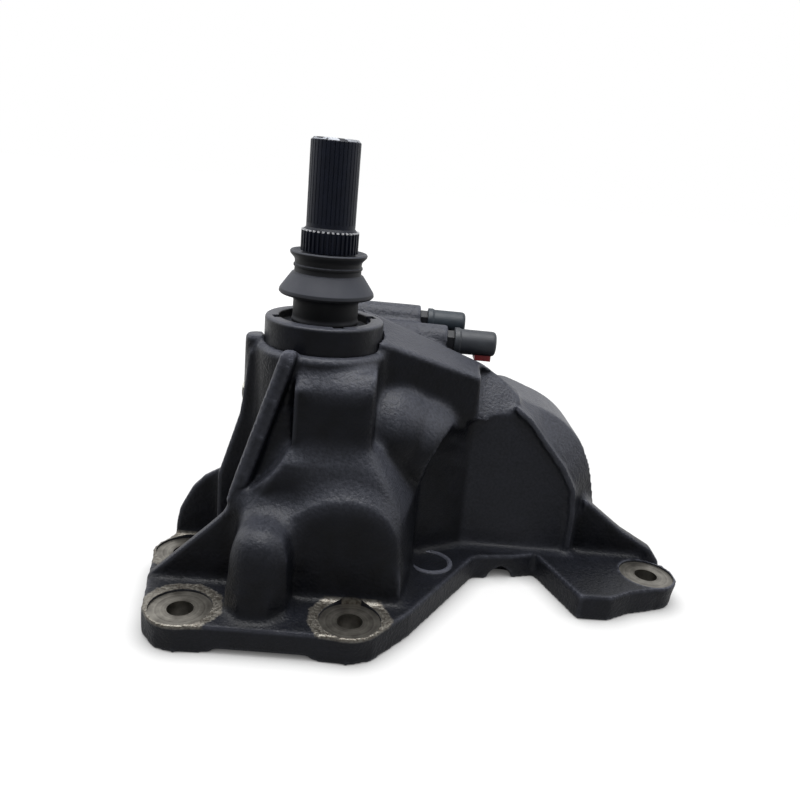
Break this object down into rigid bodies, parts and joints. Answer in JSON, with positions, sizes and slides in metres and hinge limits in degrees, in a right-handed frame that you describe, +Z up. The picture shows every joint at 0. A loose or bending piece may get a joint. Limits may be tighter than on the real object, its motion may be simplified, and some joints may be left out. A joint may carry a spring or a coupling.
{
  "type": "steering gearbox",
  "caption": "Integral power steering gearbox: black cast housing on bolt feet, splined input shaft in a rubber boot, ball screw with rack and toothed sector, output shaft under an arched bracket.",
  "frame": {"origin": "where the input shaft axis meets the mounting plane under the housing", "axes": "+X from the input axis towards the ear foot, +Y to the rear, +Z up along the input shaft"},
  "size_m": [0.2996, 0.1877, 0.2391],
  "materials": {
    "cast_paint": "satin black paint over a sand cast iron skin",
    "bright_steel": "ground and turned steel",
    "black_steel": "blackened steel",
    "seal_rubber": "moulded rubber",
    "gasket": "fibre gasket",
    "bronze": "sintered bronze",
    "seal_plastic": "filled sealing plastic",
    "blue_cap": "moulded polyethylene",
    "grey_cap": "moulded polyethylene",
    "red_tab": "moulded rubber"
  },
  "bodies": {
    "gear_case": {"housing": "cast_paint", "top_cover": "black_steel", "cover_o_ring": "seal_rubber", "bearing_plate": "bright_steel", "lower_race": "bright_steel", "lower_rollers": "bright_steel", "upper_rollers": "bright_steel", "upper_race": "bright_steel", "input_bearing": "bright_steel", "input_seal": "seal_rubber", "snap_ring": "black_steel", "side_cover": "cast_paint", "side_gasket": "gasket", "side_bolts": "bright_steel", "cover_bush": "bronze", "adjuster_screw": "bright_steel", "adjuster_nut": "bright_steel", "output_bearing": "bright_steel", "output_seal": "seal_rubber", "output_dust_seal": "seal_rubber", "pressure_fitting": "bright_steel", "return_fitting": "bright_steel", "pressure_cap": "blue_cap", "return_cap": "grey_cap", "return_cap_tab": "red_tab"},
    "steering_input": {"worm_shaft": "bright_steel", "valve_sleeve": "bright_steel", "sleeve_rings": "seal_plastic", "torsion_bar": "bright_steel", "worm_pin": "bright_steel", "input_shaft": "black_steel", "torsion_pin": "bright_steel", "dust_boot": "seal_rubber"},
    "rack_nut": {"ball_nut": "bright_steel", "nut_plug": "bright_steel", "piston_ring": "seal_plastic", "ring_expander": "seal_rubber", "screw_balls": "bright_steel", "ball_guide": "bright_steel", "guide_clamp": "bright_steel", "clamp_screws": "bright_steel"},
    "output_sector": {"sector_shaft": "bright_steel"}
  },
  "joints": [
    {"name": "nut_travel", "type": "slide", "parent": "gear_case", "child": "rack_nut", "axis": [0, 0, 1], "range_m": [-0.0169, 0.0169]},
    {"name": "input_turn", "type": "hinge", "parent": "gear_case", "child": "steering_input", "pos_m": [0, 0, 0.12], "axis": [0, 0, 1], "range_deg": [-580, 580]},
    {"name": "sector_turn", "type": "hinge", "parent": "gear_case", "child": "output_sector", "pos_m": [0, 0.053, 0.06], "axis": [1, 0, 0], "range_deg": [-32.5, 32.5]}
  ],
  "couplings": [
    {"joint": "input_turn", "follows": "nut_travel", "rad_per_m": -598.4},
    {"joint": "sector_turn", "follows": "nut_travel", "rad_per_m": -33.333}
  ]
}
